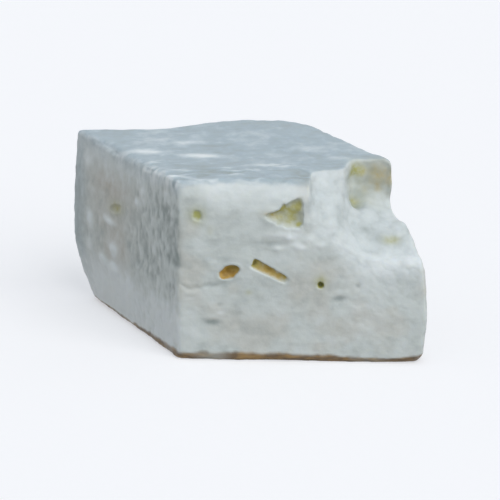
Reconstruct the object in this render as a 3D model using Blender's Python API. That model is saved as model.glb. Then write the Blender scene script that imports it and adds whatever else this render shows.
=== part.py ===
"""A hand-cut block of soft white brined cheese, with one upper corner torn away, as one solid.

Everything is in metres, +Z up. The block is worked out in its own cut frame, whose corner is the lower front
left corner of the block: X runs along the front face, Y runs back from it, Z up. At the end it is moved so
that the origin is the middle of its bounding box, on the surface it rests on.
"""

import math
from typing import NamedTuple

import bmesh
import bpy
from mathutils import Matrix, Vector


class Opening(NamedTuple):
    """One opening in the curd. Its long way is turned from the run of the face, in degrees."""

    face: str
    along: float
    height: float
    length: float
    width: float
    depth: float
    turn: float = 0.0


# Driving dimensions of the cut block
FRONT_WIDTH = 0.0588
DEPTH = 0.0472
HEIGHT = 0.0444
LEFT_ANGLE = math.radians(30.0)  # the side faces run back and to the left, this far off square
RIGHT_ANGLE = math.radians(30.7)
EDGE_RADIUS = 0.0010
ROUND_ACROSS = 0.14  # shares of the plan over which the back right edge is rounded off
ROUND_BACK = 0.18

# How far the faces leave their planes
FRONT_LEAD = 0.0028  # the front's right end stands this far forward of its left end
SHOULDER_DROP = 0.0032  # the upper front leans back by this much
SHOULDER_BAND = 0.0090  # over this height below the top
SHOULDER_SHARE = 0.27  # from this share across, and by less to the left of it
BACK_BOW = 0.0050
BOW_ACROSS = (0.25, 1.25)  # shares across between which the back bows, its end past the right face
TOP_DOME = 0.0015
DOME_ACROSS = (0.30, 0.80)  # shares across and back over which the top rises to its dome
DOME_BACK = (0.15, 0.90)
RIGHT_BULGE = 0.0033
BULGE_SCALE = 27.0 / 4.0  # makes the peak of s (1 - s)^2, at a third of the way, equal to 1
RIGHT_BELLY = 0.0006
LEFT_BELLY = 0.0010
LEFT_TUCK = 0.0038  # the lower back of the left face turns in by this much
TUCK_HEIGHT = 0.0180

# The torn corner. Its foot is the line on the front where it starts: level at the right, rising to the left.
# Behind the foot lie a slope up to the top and, right of that, a deeper shelf that ends at a wall.
FOOT_HEIGHT = 0.0210
FOOT_RISE = 0.0145
FOOT_LEVEL_FROM = 0.0460
SLOPE_START = 0.0309
SLOPE_BACK = 0.0126
SHELF_START = 0.0392
WALL_BACK = 0.0168
LIP_RISE = 0.0050
LIP_BACK = 0.0026
SHELF_RISE = 0.0056
SHELF_RISE_FROM = 0.0040
SHELF_RISE_TO = 0.0130
HUMP_RISE = 0.0020
HUMP_X = 0.0453
HUMP_BACK = 0.0165
HUMP_WIDTH = 0.0028
HUMP_LENGTH = 0.0034
DIP_DROP = 0.0022
DIP_X = 0.0408
DIP_BACK = 0.0185
DIP_WIDTH = 0.0026
DIP_LENGTH = 0.0040
SLOPE_POWER = 0.9  # under 1, so that the slope is a little hollow at its foot
SLOPE_CLEAR = 0.0002  # the slope ends this much above the top
TEAR_WAVE = 0.00035
TEAR_WAVE_RATES = (560.0, 640.0, 600.0)  # of the waves along X, Y and Z, in radians for each metre

# The hollow in the wall of the tear, an ellipsoid that is open at its top and right
HOLLOW_CENTRE = (0.0464, WALL_BACK, 0.0400)
HOLLOW_RADII = (0.0072, 0.0026, 0.0086)

# Openings and dents that reach the cut faces
OPENINGS = [
    Opening("front", along=0.0119, height=0.0222, length=0.0055, width=0.0034, depth=0.0012, turn=27),
    Opening("front", along=0.0213, height=0.0227, length=0.0092, width=0.0026, depth=0.0010, turn=-27),
    Opening("front", along=0.0334, height=0.0192, length=0.0016, width=0.0017, depth=0.0014),
    Opening("front", along=0.0044, height=0.0360, length=0.0026, width=0.0031, depth=0.0008),
    Opening("front", along=0.0077, height=0.0095, length=0.0038, width=0.0018, depth=0.0004),
    Opening("front", along=0.0379, height=0.0159, length=0.0032, width=0.0016, depth=0.0004),
    Opening("left", along=0.0314, height=0.0295, length=0.0070, width=0.0022, depth=0.0004, turn=18),
    Opening("right", along=0.0330, height=0.0280, length=0.0052, width=0.0028, depth=0.0018, turn=15),
    Opening("right", along=0.0230, height=0.0130, length=0.0068, width=0.0024, depth=0.0015, turn=-20),
    Opening("right", along=0.0430, height=0.0170, length=0.0030, width=0.0026, depth=0.0016),
    Opening("right", along=0.0380, height=0.0380, length=0.0024, width=0.0019, depth=0.0010),
    Opening("back", along=0.0165, height=0.0340, length=0.0060, width=0.0034, depth=0.0018, turn=18),
    Opening("back", along=0.0200, height=0.0140, length=0.0090, width=0.0026, depth=0.0016, turn=-26),
    Opening("back", along=0.0360, height=0.0320, length=0.0032, width=0.0028, depth=0.0016),
    Opening("back", along=0.0440, height=0.0140, length=0.0048, width=0.0030, depth=0.0016, turn=35),
    Opening("back", along=0.0500, height=0.0360, length=0.0022, width=0.0020, depth=0.0010),
]
OUTLINE_POWER = 2.6  # outlines between an ellipse, 2, and a rectangle

# The large opening beside the tear, with straight sides between corners that are given from its middle
CORNERED_ALONG = 0.0256
CORNERED_HEIGHT = 0.0365
CORNERED_DEPTH = 0.0015
CORNERED_FLOOR = 0.55  # size of its floor against its mouth
CORNERS = (
    (-0.0061, -0.0002),
    (0.0005, -0.0035),
    (0.0039, -0.0036),
    (0.0043, 0.0038),
    (0.0019, 0.0038),
    (-0.0017, 0.0018),
)

CURD_COLOR = (0.80, 0.81, 0.77, 1.0)
CURD_ROUGHNESS = 0.55

CELLS_ALONG = 22
CELLS_BACK = 16
CELLS_UP = 14
BITE_CUTS = 15
BITE_SIZE = (0.0240, 0.0225, 0.0300)  # to the right, forwards and up, so that it ends outside the block
OPENING_SEGMENTS = 12
OPENING_RINGS = 8
HOLLOW_SEGMENTS = 16
HOLLOW_RINGS = 10
SHARP_ANGLE = math.radians(35.0)


def clip(value, low, high):
    """The value, held between low and high."""
    return min(max(value, low), high)


def smooth_step(low, high, value):
    """Rise smoothly from 0 at low to 1 at high."""
    share = clip((value - low) / (high - low), 0.0, 1.0)
    return share * share * (3.0 - 2.0 * share)


def bell(distance, width):
    """Bell curve of a distance."""
    return math.exp(-((distance / width) ** 2))


def left_edge(y, z):
    """X of the left face: slanted, with a belly at half height towards the back, and tucked in below."""
    belly = LEFT_BELLY * math.sin(math.pi * clip(z / HEIGHT, 0.0, 1.0))
    tuck = LEFT_TUCK * (1.0 - clip(z / TUCK_HEIGHT, 0.0, 1.0)) ** 1.5
    return -math.tan(LEFT_ANGLE) * y + y / DEPTH * (tuck - belly)


def right_edge(y, z):
    """X of the right face: slanted, with a belly at half height and a bulge a third of the way back."""
    back_share = clip(y / DEPTH, 0.0, 1.0)
    bulge = RIGHT_BULGE * BULGE_SCALE * back_share * (1.0 - back_share) ** 2
    belly = RIGHT_BELLY * math.sin(math.pi * clip(z / HEIGHT, 0.0, 1.0))
    return FRONT_WIDTH - math.tan(RIGHT_ANGLE) * y + bulge + belly


def block_point(across, back, up):
    """Place of a point of the unit cube on the block: shares across, back and up, each from 0 to 1.

    Near the back right edge the plan is squeezed as a square is squeezed to a disc.
    """
    u = clip((across - 1.0 + ROUND_ACROSS) / ROUND_ACROSS, 0.0, 1.0)
    v = clip((back - 1.0 + ROUND_BACK) / ROUND_BACK, 0.0, 1.0)
    across -= ROUND_ACROSS * u * (1.0 - math.sqrt(1.0 - v * v / 2.0))
    back -= ROUND_BACK * v * (1.0 - math.sqrt(1.0 - u * u / 2.0))
    dome = TOP_DOME * smooth_step(*DOME_ACROSS, across) * smooth_step(*DOME_BACK, back)
    z = up * (HEIGHT + dome)
    band_share = clip((z - HEIGHT + SHOULDER_BAND) / SHOULDER_BAND, 0.0, 1.2)
    shoulder = SHOULDER_DROP * smooth_step(-0.05, SHOULDER_SHARE, across) * band_share**2
    bow = BACK_BOW * math.sin(math.pi * smooth_step(*BOW_ACROSS, across)) * smooth_step(0.0, 1.0, back)
    y = shoulder + back * (DEPTH + bow - shoulder)
    left = left_edge(y, z)
    x = left + across * (right_edge(y, z) - left)
    return Vector((x, y - FRONT_LEAD * across * (1.0 - back), z))


def face_frame(face, along, height):
    """Point on a face, and the matrix whose axes are along the face, up it and out of it."""
    up = Vector((0.0, 0.0, 1.0))
    up_share = height / HEIGHT
    angle = LEFT_ANGLE if face == "left" else RIGHT_ANGLE
    side = Vector((-math.sin(angle), math.cos(angle), 0.0))
    if face == "front":
        point = block_point(along / FRONT_WIDTH, 0.0, up_share)
        run = Vector((FRONT_WIDTH, -FRONT_LEAD, 0.0)).normalized()
    elif face == "back":
        point = block_point(along / FRONT_WIDTH, 1.0, up_share)
        run = Vector((-1.0, 0.0, 0.0))
    elif face == "left":
        point = block_point(0.0, along * side.y / DEPTH, up_share)
        run = -side
    else:
        point = block_point(1.0, along * side.y / DEPTH, up_share)
        run = side
    axes = Matrix((run, up, run.cross(up))).transposed()
    return point, axes


def foot_height(x):
    """Height of the line on the front where the tear starts."""
    left_share = clip((FOOT_LEVEL_FROM - x) / (FOOT_LEVEL_FROM - SLOPE_START), 0.0, 1.3)
    return FOOT_HEIGHT + FOOT_RISE * left_share**1.5


def way_back(x, y):
    """Distance back from the front face."""
    return y + FRONT_LEAD * clip(x / FRONT_WIDTH, 0.0, 1.0)


def slope_height(x, y):
    """Height of the slope that rises from the foot to the top."""
    foot = foot_height(x)
    share = clip(way_back(x, y) / SLOPE_BACK, 0.0, 1.3)
    return foot + (HEIGHT + SLOPE_CLEAR - foot) * share**SLOPE_POWER


def shelf_height(x, y):
    """Height of the shelf: a rounded lip, a gentle rise, and a hump and a dip before the wall."""
    back = way_back(x, y)
    lip = LIP_RISE * (1.0 - (1.0 - clip(back / LIP_BACK, 0.0, 1.0)) ** 2)
    rise = SHELF_RISE * smooth_step(SHELF_RISE_FROM, SHELF_RISE_TO, back)
    hump = HUMP_RISE * bell(x - HUMP_X, HUMP_WIDTH) * bell(back - HUMP_BACK, HUMP_LENGTH)
    dip = DIP_DROP * bell(x - DIP_X, DIP_WIDTH) * bell(back - DIP_BACK, DIP_LENGTH)
    return foot_height(x) + lip + rise + hump - dip


def collection(name):
    """New collection in the scene."""
    made = bpy.data.collections.new(name)
    bpy.context.scene.collection.children.link(made)
    return made


def add_object(name, bm, home):
    """Object made from a bmesh, in a collection."""
    bm.normal_update()
    bmesh.ops.recalc_face_normals(bm, faces=bm.faces)
    mesh = bpy.data.meshes.new(name)
    bm.to_mesh(mesh)
    bm.free()
    made = bpy.data.objects.new(name, mesh)
    home.objects.link(made)
    return made


def add_cutter(name, bm, home):
    """Cutter object: shown as wire, and left out of renders."""
    cutter = add_object(name, bm, home)
    cutter.hide_render = True
    cutter.display_type = "WIRE"
    return cutter


def block_mesh():
    """The whole block with rounded edges, and the shift that puts the origin under the middle of its box."""
    bm = bmesh.new()
    bmesh.ops.create_cube(bm, size=1.0, matrix=Matrix.Translation((0.5, 0.5, 0.5)))
    for axis, cells in enumerate((CELLS_ALONG, CELLS_BACK, CELLS_UP)):
        lines = [e for e in bm.edges if abs((e.verts[0].co - e.verts[1].co)[axis]) > 0.5]
        bmesh.ops.subdivide_edges(bm, edges=lines, cuts=cells - 1, use_grid_fill=True)
    sharp = [e for e in bm.edges if on_box_edge(e)]
    for vertex in bm.verts:
        vertex.co = block_point(*vertex.co)
    bm.normal_update()
    bmesh.ops.bevel(bm, geom=sharp, offset=EDGE_RADIUS, segments=2, profile=0.5, affect="EDGES")
    xs = [v.co.x for v in bm.verts]
    ys = [v.co.y for v in bm.verts]
    shift = Vector((-(min(xs) + max(xs)) / 2.0, -(min(ys) + max(ys)) / 2.0, 0.0))
    return bm, shift


def on_box_edge(edge):
    """Whether an edge of the unit cube's grid lies on one of the cube's twelve edges."""
    limits = 0
    for axis in range(3):
        first, second = (v.co[axis] for v in edge.verts)
        limits += abs(first - second) < 1e-6 and min(abs(first), abs(first - 1.0)) < 1e-6
    return limits == 2


def bite_mesh(start, back, floor):
    """Torn away curd right of start, in front of back and over a floor, with gently waved sides.

    The floor is a function that gives its height at a point in plan.
    """
    right, forward, up = BITE_SIZE
    rate_x, rate_y, rate_z = TEAR_WAVE_RATES
    bm = bmesh.new()
    bmesh.ops.create_cube(bm, size=1.0, matrix=Matrix.Translation((0.5, 0.5, 0.5)))
    bmesh.ops.subdivide_edges(bm, edges=bm.edges[:], cuts=BITE_CUTS, use_grid_fill=True)
    for vertex in bm.verts:
        x = start + vertex.co.x * right
        y = back - vertex.co.y * forward
        point = Vector((x, y, floor(x, y) + vertex.co.z * up))
        turns = (point.x * rate_x, point.y * rate_y + 1.3, point.z * rate_z + 0.4)
        wave = sum(math.sin(turn) for turn in turns)
        vertex.co = point + Vector((0.5, -1.0, 1.0)) * TEAR_WAVE * wave
    return bm


def opening_mesh(opening):
    """Ellipsoid with a fuller outline, half sunk in its face."""
    point, axes = face_frame(opening.face, opening.along, opening.height)
    place = Matrix.Translation(point) @ axes.to_4x4() @ Matrix.Rotation(math.radians(opening.turn), 4, "Z")
    size = Matrix.Diagonal((opening.length / 2.0, opening.width / 2.0, opening.depth, 1.0))
    bm = bmesh.new()
    bmesh.ops.create_uvsphere(bm, u_segments=OPENING_SEGMENTS, v_segments=OPENING_RINGS, radius=1.0)
    for vertex in bm.verts:
        x, y, z = vertex.co
        radius = math.hypot(x, y)
        if radius > 0.0:
            outline = abs(x / radius) ** OUTLINE_POWER + abs(y / radius) ** OUTLINE_POWER
            fullness = outline ** (-1.0 / OUTLINE_POWER)
            vertex.co = Vector((x * fullness, y * fullness, z))
        vertex.co = place @ size @ vertex.co
    return bm


def cornered_mesh():
    """Pit with straight sides, narrowing inwards: a cone's end rings, whose points are moved to the corners.

    The cone's points lie halfway between the multiples of a corner's share of the turn.
    """
    point, axes = face_frame("front", CORNERED_ALONG, CORNERED_HEIGHT)
    place = Matrix.Translation(point) @ axes.to_4x4()
    share = 2.0 * math.pi / len(CORNERS)
    bm = bmesh.new()
    bmesh.ops.create_cone(bm, cap_ends=True, segments=len(CORNERS), radius1=1.0, radius2=1.0, depth=2.0)
    for vertex in bm.verts:
        turn = (math.atan2(vertex.co.y, vertex.co.x) + math.pi) % (2.0 * math.pi)
        along, height = CORNERS[int(turn / share)]
        spread = 1.0 + (1.0 - CORNERED_FLOOR) * vertex.co.z
        vertex.co = place @ Vector((along * spread, height * spread, CORNERED_DEPTH * vertex.co.z))
    return bm


def hollow_mesh():
    """Large opening in the wall of the tear, as an ellipsoid."""
    place = Matrix.Translation(HOLLOW_CENTRE) @ Matrix.Diagonal((*HOLLOW_RADII, 1.0))
    bm = bmesh.new()
    bmesh.ops.create_uvsphere(
        bm, u_segments=HOLLOW_SEGMENTS, v_segments=HOLLOW_RINGS, radius=1.0, matrix=place
    )
    return bm


def curd_material():
    """White curd: moist and matt."""
    material = bpy.data.materials.new("white_curd")
    material.use_nodes = True
    shader = material.node_tree.nodes["Principled BSDF"]
    shader.inputs["Base Color"].default_value = CURD_COLOR
    shader.inputs["Roughness"].default_value = CURD_ROUGHNESS
    shader.inputs["Metallic"].default_value = 0.0
    return material


def cut_away(block, cutter):
    """Boolean difference of the block and one cutter."""
    cut = block.modifiers.new(cutter.name, "BOOLEAN")
    cut.operation = "DIFFERENCE"
    cut.solver = "EXACT"
    cut.object = cutter


def main():
    """Build the block and everything that is cut out of it."""
    for old in list(bpy.data.objects):
        bpy.data.objects.remove(old)
    parts = collection("white_cheese_block")
    cutters = collection("cutters")

    bm, shift = block_mesh()
    block = add_object("cheese_block", bm, parts)
    block.location = shift
    block.data.materials.append(curd_material())

    shapes = {
        "shelf_bite": bite_mesh(SHELF_START, WALL_BACK, shelf_height),
        "slope_bite": bite_mesh(SLOPE_START, SLOPE_BACK + FRONT_LEAD, slope_height),
        "hollow": hollow_mesh(),
        "cornered_opening": cornered_mesh(),
    }
    for number, opening in enumerate(OPENINGS, start=1):
        shapes[f"opening_{number}"] = opening_mesh(opening)
    for name, shape in shapes.items():
        cutter = add_cutter(name, shape, cutters)
        cutter.location = shift
        cut_away(block, cutter)
    block.data.shade_smooth()
    block.data.set_sharp_from_angle(angle=SHARP_ANGLE)


main()
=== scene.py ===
"""Looks of a hand-cut block of soft white brined cheese with one upper corner torn away.

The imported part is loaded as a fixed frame, and one closed surface of moist curd stands for its solid. The
surface is worked out in the block's own cut frame, in millimetres: it starts at the block's lower front left
corner, X runs along the front face, Y back from it and Z up. It is moved onto the part's box at the end.
"""

import logging
import math
from dataclasses import dataclass, field
from enum import Enum

import bpy
import numpy as np
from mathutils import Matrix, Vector


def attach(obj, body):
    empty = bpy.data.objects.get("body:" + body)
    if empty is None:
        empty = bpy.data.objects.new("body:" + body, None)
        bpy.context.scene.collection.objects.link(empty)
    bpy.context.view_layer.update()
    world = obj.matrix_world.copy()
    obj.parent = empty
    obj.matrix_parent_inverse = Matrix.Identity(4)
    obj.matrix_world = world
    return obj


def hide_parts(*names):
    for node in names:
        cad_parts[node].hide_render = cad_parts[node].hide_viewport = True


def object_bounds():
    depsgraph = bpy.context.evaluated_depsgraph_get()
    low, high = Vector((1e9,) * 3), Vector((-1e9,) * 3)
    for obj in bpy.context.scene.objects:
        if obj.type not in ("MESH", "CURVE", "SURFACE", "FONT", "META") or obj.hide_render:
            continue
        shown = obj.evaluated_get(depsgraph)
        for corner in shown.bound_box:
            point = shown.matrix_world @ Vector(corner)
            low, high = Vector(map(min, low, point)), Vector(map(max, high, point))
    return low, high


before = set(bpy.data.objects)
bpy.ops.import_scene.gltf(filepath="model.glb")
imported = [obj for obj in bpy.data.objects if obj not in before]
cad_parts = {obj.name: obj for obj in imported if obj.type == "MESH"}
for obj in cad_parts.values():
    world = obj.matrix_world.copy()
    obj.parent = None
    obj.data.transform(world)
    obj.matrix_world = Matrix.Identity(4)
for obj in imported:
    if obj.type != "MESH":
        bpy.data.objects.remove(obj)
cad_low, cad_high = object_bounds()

Array = np.ndarray
Span = tuple[float, float]
Triple = tuple[float, float, float]
Limits = tuple[float, float, float, float]
Color = tuple[float, float, float, float]
Tree = bpy.types.NodeTree
Socket = bpy.types.NodeSocket

MM = 0.001
NODE = "cheese_block"
IMAGE_SIDE = 500

RIGHTWARD = np.array([1.0, 0.0, 0.0])
BACKWARD = np.array([0.0, 1.0, 0.0])
UPWARD = np.array([0.0, 0.0, 1.0])

TINY = 1e-6
LOW_BITS = 0xFFFFFFFF
CELL_FACTORS = np.array([73856093, 19349663, 83492791])
SEED_FACTOR = 2654435761
STIR_FACTOR = 0x45D9F3B
LAYER_SHIFT = 7.3

logging.basicConfig(level=logging.INFO, format="%(message)s")
log = logging.getLogger("cheese_block")


class CutFace(Enum):
    """The faces that the knife left, each by the direction it looks in."""

    FRONT = (0.0, -1.0, 0.0)
    BACK = (0.0, 1.0, 0.0)
    LEFT = (-1.0, 0.0, 0.0)
    RIGHT = (1.0, 0.0, 0.0)
    TOP = (0.0, 0.0, 1.0)
    BASE = (0.0, 0.0, -1.0)


class Mark(Enum):
    """What each point of the surface carries for the material, which reads it by this name."""

    TORN = "torn"
    OPENING = "opening"
    OLIVE = "olive"
    # paler or duller curd, with painted highlights and painted shade among it
    TONE_AND_PAINTED_LIGHT = "tone"
    SKIN = "skin"
    WARM = "warm"
    # dried whey and painted contact shadow under the lower rim
    SEEP_AND_SHADOW = "seep_and_shadow"


def smooth_step(start: float, end: float, value: Array) -> Array:
    """Three times the squared share less twice its cube: 0 at start and 1 at end, whichever is higher."""
    share = np.clip((value - start) / (end - start), 0.0, 1.0)
    return share * share * (3.0 - 2.0 * share)


def plateau(limits: Limits, value: Array) -> Array:
    """Rise to 1 by a smooth step between the first two limits, and fall by one between the last two."""
    return smooth_step(limits[0], limits[1], value) * smooth_step(limits[3], limits[2], value)


def bell(distance: Array, width: float) -> Array:
    """Bell curve: e to the power of minus the squared distance in widths."""
    return np.exp(-((distance / width) ** 2))


def mound(along: Array, up: Array, reach: Span) -> Array:
    """Bell curve over a plane, with its own width along and up."""
    return bell(along, reach[0]) * bell(up, reach[1])


def soft_least(values: list[Array], rounding: float) -> Array:
    """Least of several arrays, rounded where they meet: minus the log of the sum of e to the minus each."""
    scaled = np.stack(values) / -rounding
    top = scaled.max(axis=0)
    return -rounding * (top + np.log(np.exp(scaled - top).sum(axis=0)))


def cell_random(cells: Array, seed: int) -> Array:
    """Fixed random number from 0 to 1 for each whole-number cell, from its bits mixed with the seed.

    Args:
        cells: whole numbers, three to a cell.
        seed: chooses the set of numbers.

    Returns:
        One number for each cell.
    """
    mixed = (np.bitwise_xor.reduce(cells * CELL_FACTORS, axis=-1) ^ seed * SEED_FACTOR) & LOW_BITS
    for _ in range(2):
        mixed = ((mixed ^ (mixed >> 16)) * STIR_FACTOR) & LOW_BITS
    return (mixed ^ (mixed >> 16)) / LOW_BITS


def smooth_noise(points: Array, seed: int) -> Array:
    """Noise from -1 to 1: fixed random values at whole-number cells, blended by a quintic curve."""
    base = np.floor(points)
    part = points - base
    ease = part**3 * (part * (part * 6.0 - 15.0) + 10.0)
    cells = base.astype(np.int64)
    total = np.zeros(len(points))
    for corner in np.ndindex(2, 2, 2):
        offset = np.array(corner)
        weight = np.prod(np.where(offset == 1, ease, 1.0 - ease), axis=1)
        total += weight * cell_random(cells + offset, seed)
    return total * 2.0 - 1.0


def layered_noise(points: Array, size: float | Triple, seed: int, layers: int = 3) -> Array:
    """Noise of a given grain size with finer layers on it, each half as wide and half as strong as the last.

    Args:
        points: places, in millimetres.
        size: grain size in millimetres, one number or one for each axis.
        seed: chooses the pattern.
        layers: how many sizes are added up.

    Returns:
        Noise of about -1 to 1.
    """
    scaled = points / np.asarray(size)
    total = np.zeros(len(points))
    for layer in range(layers):
        total += smooth_noise(scaled * 2.0**layer + LAYER_SHIFT * layer, seed + layer) * 0.5**layer
    return total


def grain_height(points: Array, size: float, seed: int) -> Array:
    """Height of packed round grains, from 1 at a grain's middle down to 0 between grains.

    It is one less the squared distance to the nearest of the random centres, one of which lies in each cell.

    Args:
        points: places, in millimetres.
        size: grain size, in millimetres.
        seed: chooses the grains.

    Returns:
        One height for each point.
    """
    scaled = points / size
    cells = np.floor(scaled).astype(np.int64)
    nearest = np.full(len(points), np.inf)
    for step in np.ndindex(3, 3, 3):
        cell = cells + np.array(step) - 1
        centre = cell + np.stack([cell_random(cell, seed + axis) for axis in range(3)], axis=1)
        nearest = np.minimum(nearest, ((scaled - centre) ** 2).sum(axis=1))
    return np.clip(1.0 - nearest, 0.0, 1.0)


def grid_lines(stretches: tuple[tuple[float, int], ...]) -> Array:
    """Rising values from 0 to 1, evenly spaced within each stretch.

    Args:
        stretches: where each stretch ends, as a share, and its number of cells.

    Returns:
        The values, both ends among them.
    """
    values = [np.zeros(1)]
    start = 0.0
    for end, cells in stretches:
        values.append(np.linspace(start, end, cells + 1)[1:])
        start = end
    return np.concatenate(values)


def box_lattice(lines: list[Array]) -> tuple[Array, Array]:
    """Closed surface of a box, as a grid on each face whose seams share their points.

    Args:
        lines: for each axis, the rising values from 0 to 1 where grid lines cross it.

    Returns:
        Points as shares of the box, and the quads that join them, facing outwards.
    """
    counts = [len(line) for line in lines]
    quads = []
    for axis in range(3):
        first = (axis + 1) % 3
        second = (axis + 2) % 3
        rows, columns = np.indices((counts[first] - 1, counts[second] - 1))
        for end in (0, counts[axis] - 1):
            corners = []
            for down, right in ((0, 0), (1, 0), (1, 1), (0, 1)):
                index = np.empty((3, *rows.shape), np.int64)
                index[axis] = end
                index[first] = rows + down
                index[second] = columns + right
                corners.append((index[0] * counts[1] + index[1]) * counts[2] + index[2])
            quad = np.stack(corners, axis=-1).reshape(-1, 4)
            quads.append(quad if end else quad[:, ::-1])
    codes, joined = np.unique(np.concatenate(quads), return_inverse=True)
    index = (codes // (counts[1] * counts[2]), codes // counts[2] % counts[1], codes % counts[2])
    points = np.stack([line[i] for line, i in zip(lines, index)], axis=1)
    return points, joined.reshape(-1, 4)


def point_normals(points: Array, quads: Array) -> Array:
    """Outward unit vector at each point: the sum of its quads' diagonal cross products, made one long."""
    corner = points[quads]
    facing = np.cross(corner[:, 2] - corner[:, 0], corner[:, 3] - corner[:, 1])
    total = np.stack([
        np.bincount(quads.ravel(), weights=np.repeat(facing[:, axis], 4), minlength=len(points))
        for axis in range(3)
    ], axis=1)
    return total / np.maximum(np.linalg.norm(total, axis=1, keepdims=True), TINY)


@dataclass
class Place:
    """A place on the curd: its middle, and the directions along it and up it."""

    middle: Array
    run: Array
    up: Array
    spot_reach: float = 3.0

    @property
    def axes(self) -> Array:
        """Directions along the curd, up it and out of it, one to a row."""
        return np.stack([self.run, self.up, np.cross(self.run, self.up)])

    def local(self, points: Array) -> Array:
        """Distances of points from the middle along the run, up and outwards, in millimetres."""
        return (points - self.middle) @ self.axes.T

    def world(self, local: Array) -> Array:
        """Points at the given distances along the run, up and outwards."""
        return self.middle + local @ self.axes

    def spot(self, points: Array, length: float, width: float) -> Array:
        """Share of a soft spot at each point: a bell of its length and width that fades out of the face."""
        along, up, out = self.local(points).T
        return mound(along, up, (length / 2.0, width / 2.0)) * bell(out, self.spot_reach)

    def turned(self, degrees: float) -> "Place":
        """The same place with its run turned towards its up."""
        turn = math.radians(degrees)
        run = math.cos(turn) * self.run + math.sin(turn) * self.up
        up = math.cos(turn) * self.up - math.sin(turn) * self.run
        return Place(self.middle, run, up)


def facing_front(middle: Triple) -> Place:
    """Upright place that faces the front, with its run along X."""
    return Place(np.array(middle), RIGHTWARD, UPWARD)


@dataclass
class Curd:
    """The surface under work: its points, its quads, the side each point is on, and its marks."""

    points: Array
    quads: Array
    facing: Array
    marks: dict[Mark, Array] = field(init=False)

    def __post_init__(self) -> None:
        """Start every mark at nothing."""
        self.marks = {mark: np.zeros(len(self.points)) for mark in Mark}

    @property
    def whole(self) -> Array:
        """How far each point is from being torn, from 0 to 1."""
        return 1.0 - self.marks[Mark.TORN]

    def towards(self, face: CutFace) -> Array:
        """How far each point's side of the uncut box looks the way a face does, from 0 to 1."""
        return np.clip(self.facing @ np.array(face.value), 0.0, 1.0)

    def cut(self, face: CutFace) -> Array:
        """How far each point lies on what is left of a cut face, from 0 to 1."""
        return self.towards(face) * self.whole

    def raise_by(self, height: Array) -> None:
        """Move each point outwards along the surface's own normal, by a height in millimetres."""
        self.points = self.points + point_normals(self.points, self.quads) * height[:, None]


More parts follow.
